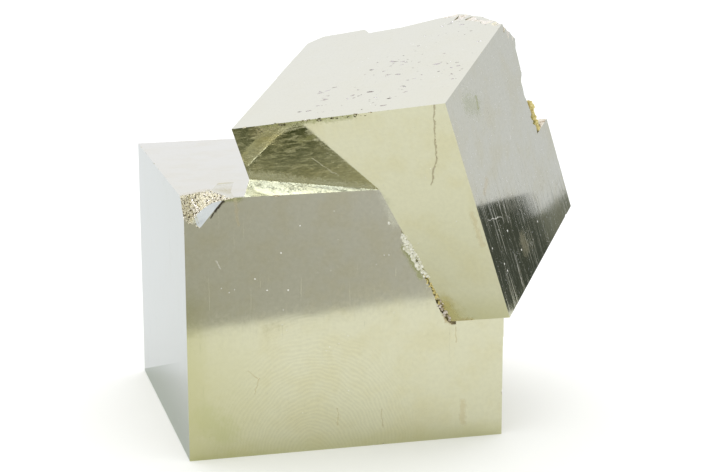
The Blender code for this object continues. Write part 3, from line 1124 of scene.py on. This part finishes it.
def edgePlaces(rng, count, size):
    # Random places for nicks along a block's edges.
    places = []
    smallest, largest = 0.06, 0.22
    edges = boxEdges()
    for number in range(count):
        start, end = [Vector(point) for point in rng.choice(edges)]
        share = rng.uniform(0.04, 0.96)
        place = start.lerp(end, share)
        position = [place[axis] * size[axis] for axis in range(3)]
        amount = smallest + (largest - smallest) * rng.random() ** 3
        direction = (end - start).normalized()
        stretch = [1.0 + abs(direction[axis]) * rng.uniform(0.3, 2.2) for axis in range(3)]
        places.append((position, amount, stretch))
    return places


def terraceCutters(name, rng, size, sides, axes, count, material):
    # Low growth steps: shallow strips sunk into faces, right across them and each starting at an edge.
    cutters = []
    for side, sign in sides:
        along, across = rng.sample([axis for axis in range(3) if axis != side], 2)
        for number in range(count):
            sunk = rng.uniform(0.03, 0.07)
            span = size[across] * rng.uniform(0.08, 0.55)
            atStart = rng.random() < 0.5
            low = [-0.4, -0.4, -0.4]
            high = [extent + 0.4 for extent in size]
            low[side] = size[side] - sunk if sign > 0 else -0.5
            high[side] = size[side] + 0.5 if sign > 0 else sunk
            low[across] = -0.4 if atStart else size[across] - span
            high[across] = span if atStart else size[across] + 0.4
            cutters.append(objectFromShape(name, boxShape(low, high, axes), [material]))
    return cutters


def boxEdges():
    # The twelve edges of a box, each from start to end in shares of its size.
    edges = []
    for axis in range(3):
        first, second = [other for other in range(3) if other != axis]
        for far in ((0, 0), (1, 0), (0, 1), (1, 1)):
            start = [0, 0, 0]
            start[first], start[second] = far
            end = list(start)
            end[axis] = 1
            edges.append((start, end))
    return edges


def makeLowerCrystal(materials, inside):
    size = (lowerShape["width"], lowerShape["depth"], lowerShape["height"])
    rng = random.Random(5)
    base = objectFromShape("lowerBase", boxShape((0, 0, 0), size, lowerAxes), [materials["rest"]])
    chip = makeChip(inside["druse"], inside["cleavage"])
    wedges = []
    for points in lowerFeatures["wedge"]:
        wedge = bmesh.new()
        raised = [(point[0], point[1], -0.6) for point in points]
        hullInto(wedge, list(points) + raised, lowerAxes)
        wedges.append(objectFromShape("lowerWedge", wedge, [inside["gold"]]))
    seatLow = (0.25, 0.2, -1.0)
    seatHigh = (upperShape["width"] + 0.6, upperShape["depth"] - 0.3, upperShape["height"] - 0.3)
    seat = objectFromShape("lowerSeat", boxShape(seatLow, seatHigh, upperAxes), [inside["seam"]])
    places = edgePlaces(rng, lowerFeatures["edgeNicks"], size)
    bites = nicks("lowerNicks", rng, places, lowerAxes, inside["broken"])
    furrow = makeFurrow(inside["seam"])
    sides = ((0, 1), (1, 1))
    count = lowerFeatures["terraces"]
    terraces = terraceCutters("lowerTerraces", rng, size, sides, lowerAxes, count, materials["rest"])
    crystal = carve("lowerCrystal", base, [chip, *wedges, seat, *bites, furrow, *terraces])
    mapFaces(crystal, lowerAxes, materials)
    keepInside(crystal, 0.0)
    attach(crystal, "root")
    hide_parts("lower_crystal")
    return crystal


upperFeatures = {
    # The missing step: depth below the top, where its wall starts back on the right face and where
    # it ends across on the back face.
    "step": (
        (-1.0, 17.6, 16.2), (0.0, 17.8, 16.5), (1.2, 18.7, 17.0), (2.7, 20.0, 17.8), (3.5, 19.4, 17.1),
        (6.1, 19.3, 16.7), (6.8, 18.5, 16.0), (8.6, 18.45, 16.2), (10.1, 18.7, 16.4), (11.7, 19.1, 16.9),
        (13.0, 18.9, 16.7),
    ),
    "stepBulge": 0.4,
    "stepGrain": 0.16,
    "bevel": ((2.5, 22.4, 0.0), (0.0, 19.9, 0.0), (0.0, 22.4, 6.0)),
    "notch": ((7.2, 20.6, 0.0), 0.35),
    "stepNicks": (
        ((9.7, 21.0, 0.0), 0.25, (1.0, 1.0, 1.0)), ((15.6, 22.0, 0.0), 0.55, (1.4, 0.9, 0.25)),
        ((16.6, 21.9, 0.0), 0.85, (1.4, 0.9, 0.22)), ((17.5, 21.2, 0.0), 0.80, (1.2, 1.1, 0.18)),
        ((18.3, 20.8, 0.0), 1.00, (1.2, 0.8, 0.22)), ((19.2, 20.2, 0.0), 0.85, (1.3, 1.0, 0.18)),
        ((20.1, 19.6, 0.0), 0.95, (1.1, 1.0, 0.20)), ((21.0, 19.0, 0.0), 0.95, (1.2, 0.8, 0.18)),
        ((21.8, 18.5, 0.0), 0.80, (1.1, 1.0, 0.22)), ((22.4, 18.0, 0.0), 0.75, (1.1, 0.9, 0.25)),
        ((23.1, 17.9, 0.5), 0.70, (0.22, 1.0, 1.2)), ((23.1, 18.7, 1.4), 0.70, (0.20, 0.9, 1.2)),
        ((23.1, 19.6, 2.4), 0.65, (0.20, 0.8, 1.2)), ((23.1, 20.1, 3.4), 0.60, (0.20, 0.7, 1.3)),
        ((23.1, 19.6, 4.8), 0.60, (0.20, 0.8, 1.4)), ((23.1, 19.4, 6.2), 0.65, (0.20, 0.9, 1.2)),
        ((23.1, 18.7, 8.0), 0.50, (0.20, 0.8, 1.5)),
    ),
    # The worn back edge of the top: where it starts on the top, then it slopes down to the back.
    "wornEdge": (
        ((-0.5, 21.1), (1.5, 21.4), (6.2, 21.6)),
        ((6.1, 21.7), (7.2, 20.4), (8.0, 20.5)),
        ((7.9, 20.5), (10.7, 20.7), (16.6, 22.3)),
    ),
    "frontPits": 90,
    "topPits": 140,
    "pitBand": ((9.5, 3.6), (15.5, 4.6), (14.0, 11.0), (21.0, 9.0), (17.5, 19.5)),
    "edgeNicks": 40,
    "terraces": 5,
}


def makeStepCutter(material):
    # The step's rough, slightly bulging wall and its floor.
    features = upperFeatures
    width, depthSize = upperShape["width"], upperShape["depth"]
    shape = bmesh.new()
    rings = []
    parts = 26
    for level, start, end in subdivided(features["step"], 5):
        first = Vector((width, start, level))
        last = Vector((end, depthSize, level))
        outward = Vector((last.y - first.y, first.x - last.x, 0)).normalized()
        ring = []
        for part in range(parts + 1):
            share = -0.12 + 1.24 * part / parts
            point = first.lerp(last, share)
            swell = features["stepBulge"] * max(0.0, math.sin(math.pi * min(max(share, 0), 1)))
            rough = noise.noise(point / 1.1) + 0.5 * noise.noise(point / 0.45) + 0.5 * noise.cell(point / 0.8)
            edge = 0.6 if min(share, 1 - share) < 0.06 else 1.0
            point = point + outward * (swell + rough * features["stepGrain"] * edge)
            if level > 12.99:
                point.z += 0.10 * noise.noise(point / 0.5)
            ring.append(shape.verts.new(upperAxes @ point))
        ring.append(shape.verts.new(upperAxes @ Vector((end - 0.5, depthSize + 1.6, level))))
        ring.append(shape.verts.new(upperAxes @ Vector((width + 1.6, depthSize + 1.6, level))))
        ring.append(shape.verts.new(upperAxes @ Vector((width + 1.6, start - 0.5, level))))
        rings.append(ring)
    joinRings(shape, rings)
    return objectFromShape("upperStep", shape, [material])


def makeTopPits(rng, material):
    # Shallow elongated dents, thickest in a band across the top.
    places = []
    while len(places) < upperFeatures["topPits"]:
        middle = Vector(rng.choice(upperFeatures["pitBand"]))
        across = middle.x + rng.gauss(0, 1.7)
        back = middle.y + rng.gauss(0, 2.0)
        if 1.0 < across < 22.3 and 0.8 < back < 21.0:
            length = 0.12 + 0.50 * rng.random() ** 2
            stretch = (length, length * 0.40, rng.uniform(0.04, 0.09))
            places.append(((across, back, -0.01), 1.0, stretch))
    return nicks("upperTopPits", rng, places, upperAxes, material)


def makeUpperCrystal(materials, inside):
    features = upperFeatures
    size = (upperShape["width"], upperShape["depth"], upperShape["height"])
    rng = random.Random(8)
    base = objectFromShape("upperBase", boxShape((0, 0, 0), size, upperAxes), [materials["rest"]])
    step = makeStepCutter(inside["broken"])
    triangle = [Vector(point) for point in features["bevel"]]
    centre = sum(triangle, Vector()) / 3
    bevel = bmesh.new()
    wider = [centre + (point - centre) * 1.5 for point in triangle]
    hullInto(bevel, wider + [Vector((-3, 25, -3))], upperAxes)
    bevel = objectFromShape("upperBevel", bevel, [materials["rest"]])
    worn = []
    for start, middle, end in features["wornEdge"]:
        strip = bmesh.new()
        points = [(*point, -0.02) for point in (start, middle, end)]
        points += [(point[0], size[1] + 0.1, 1.3) for point in (start, end)]
        points += [(point[0], size[1] + 1.5, -0.8) for point in (start, end)]
        hullInto(strip, points, upperAxes)
        worn.append(objectFromShape("upperWorn", strip, [inside["broken"]]))
    place, amount = features["notch"]
    backNicks = [(place, amount, (1.3, 0.8, 0.7)), *features["stepNicks"]]
    notch = nicks("upperNotch", rng, backNicks, upperAxes, inside["pale"])
    frontPits = []
    for number in range(features["frontPits"]):
        amount = 0.07 + 0.20 * rng.random() ** 2.5
        position = (3.4 + 11.6 * rng.random() ** 0.9, rng.uniform(-0.08, 0.10), rng.uniform(-0.05, 0.32))
        frontPits.append((position, amount, (1.5, 0.9, 0.8)))
    rimPits = nicks("upperRimPits", rng, frontPits, upperAxes, inside["dark"])
    topPits = makeTopPits(rng, inside["pitted"])
    places = edgePlaces(rng, features["edgeNicks"], size)
    bites = nicks("upperNicks", rng, places, upperAxes, inside["broken"])
    sides = ((0, -1), (1, 1), (2, 1))
    count = features["terraces"]
    terraces = terraceCutters("upperTerraces", rng, size, sides, upperAxes, count, materials["rest"])
    pits = [*notch, *rimPits, *topPits, *bites]
    crystal = carve("upperCrystal", base, [step, bevel, *worn, *pits, *terraces])
    mapFaces(crystal, upperAxes, materials)
    keepInside(crystal, 0.0)
    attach(crystal, "root")
    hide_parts("upper_crystal")
    return crystal


clayColours = ((0.27, 0.22, 0.12), (0.42, 0.35, 0.20), (0.14, 0.11, 0.06))
insideMaterials = {
    "broken": pyriteFracture("brokenPyrite", fractureFinish),
    "druse": pyriteFracture("drusyPyrite", druseFinish),
    "pale": pyriteFracture("paleBrokenPyrite", paleFractureFinish),
    "cleavage": pyriteFace("cleavedPyritePaintedSky", cleavagePaintedSkyFinish),
    "gold": pyriteFace("goldenPyrite", wedgeFinish),
    "pitted": pyriteFracture("pittedPyrite", pitFinish),
    "dark": pyriteFracture("darkBrokenPyrite", darkFractureFinish),
    "seam": earthy("seamClay", clayColours, 0.8, 0.00008),
}
lowerMaterials = {
    "front": pyriteFace("lowerFrontPyrite", lowerFrontFinish),
    "top": pyriteFace("lowerTopPyrite", lowerTopFinish),
    "left": pyriteFace("lowerLeftShadedPyrite", lowerLeftShadedFinish),
    "rest": pyriteFace("lowerSidePyrite", pyriteFinish),
}
upperMaterials = {
    "top": pyriteFace("upperTopPyrite", upperTopFinish),
    "front": pyriteFace("upperFrontPyrite", upperFrontFinish),
    "right": pyriteFace("upperRightPyrite", upperRightFinish),
    "rest": pyriteFace("upperSidePyrite", pyriteFinish),
}
makeLowerCrystal(lowerMaterials, insideMaterials)
print("lower crystal ready")
makeUpperCrystal(upperMaterials, insideMaterials)
print("upper crystal ready")


# Between these depths below the lower crystal's top: how far the grains spread across the seam,
# grains per square millimetre and their sizes.
fillingParts = {
    "calcite": {"depths": (4.5, 9.0), "spread": 0.80, "density": 40, "size": (0.10, 0.44), "seed": 3},
    "limonite": {"depths": (8.4, 12.8), "spread": 0.50, "density": 30, "size": (0.08, 0.26), "seed": 5},
    "clay": {"depths": (11.2, 13.7), "spread": 0.62, "density": 22, "size": (0.12, 0.34), "seed": 9},
}


def seamRibbon(name, depths, spread):
    # A strip just inside the furrow's mouth that narrows towards both ends.
    rng = random.Random(21)
    sunk = 0.05 * mm
    left = []
    right = []
    for part in range(19):
        share = part / 18
        middle = seamPoint(depths[0] + (depths[1] - depths[0]) * share)
        swell = 0.35 + 0.65 * math.sin(math.pi * min(max(share, 0.08), 0.92))
        half = spread * mm * rng.uniform(0.6, 1.1) * swell
        left.append(middle + Vector((-half, sunk, 0)))
        right.append(middle + Vector((half * 0.8, sunk, 0)))
    return ribbon(name, left, right)


def makeSeamFilling(materials):
    heaps = []
    for key, part in fillingParts.items():
        base = seamRibbon(key + "Base", part["depths"], part["spread"])
        heap = scatter(key + "Grains", base, part["density"], part["size"], part["seed"], materials[key])
        heaps.append(heap)
    filling = mergePieces("seamFilling", heaps)
    keepInside(filling)
    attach(filling, "root")
    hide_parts("seam_filling")


crustFeatures = {
    "top": 9.9,
    "height": 3.0,
    "bow": 0.18,
    "density": 30,
    "size": (0.20, 0.78),
    "seed": 4,
}


def makeStepCrust(material):
    # Limonite grown on the foot of the step's wall, near the right face.
    features = crustFeatures
    left = []
    right = []
    for part in range(9):
        level = features["top"] + features["height"] * part / 8
        bow = features["bow"] * math.sin(level * 2.1)
        left.append(upperAxes @ Vector((23.12, 19.3 + bow, level)))
        right.append(upperAxes @ Vector((20.6, 20.55 + bow, level)))
    base = ribbon("crustBase", left, right)
    crust = scatter("stepCrust", base, features["density"], features["size"], features["seed"], material)
    keepInside(crust)
    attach(crust, "root")
    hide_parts("step_crust")


ledgeFeatures = {
    "left": ((21.2, 20.2, 12.8), (21.6, 21.6, 12.8)),
    "right": ((22.8, 19.1, 12.8), (22.8, 21.4, 12.8)),
    "density": 7,
    "size": (0.2, 0.6),
    "seed": 2,
}


def makeLedgeGrain(material):
    # Calcite grains lying on the step's floor.
    features = ledgeFeatures
    left = [upperAxes @ Vector(point) for point in features["left"]]
    right = [upperAxes @ Vector(point) for point in features["right"]]
    base = ribbon("grainBase", left, right)
    grains = scatter("ledgeGrain", base, features["density"], features["size"], features["seed"], material)
    keepInside(grains)
    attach(grains, "root")
    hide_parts("ledge_grain")


calciteColours = ((0.80, 0.79, 0.68), (0.62, 0.61, 0.46), (0.86, 0.86, 0.80))
limoniteColours = ((0.68, 0.58, 0.24), (0.52, 0.44, 0.15), (0.80, 0.72, 0.42))
pinkClayColours = ((0.62, 0.56, 0.47), (0.38, 0.31, 0.20), (0.76, 0.72, 0.69))
calcite = earthy("calcite", calciteColours, 0.55, 0.00005)
limonite = earthy("limonite", limoniteColours, 0.85, 0.00008)
clay = earthy("seamPinkClay", pinkClayColours, 0.8, 0.00006)
makeSeamFilling({"calcite": calcite, "limonite": limonite, "clay": clay})
makeStepCrust(limonite)
makeLedgeGrain(calcite)
print("seam filling, crust and grains ready")

bpy.context.scene.view_settings.view_transform = "Standard"
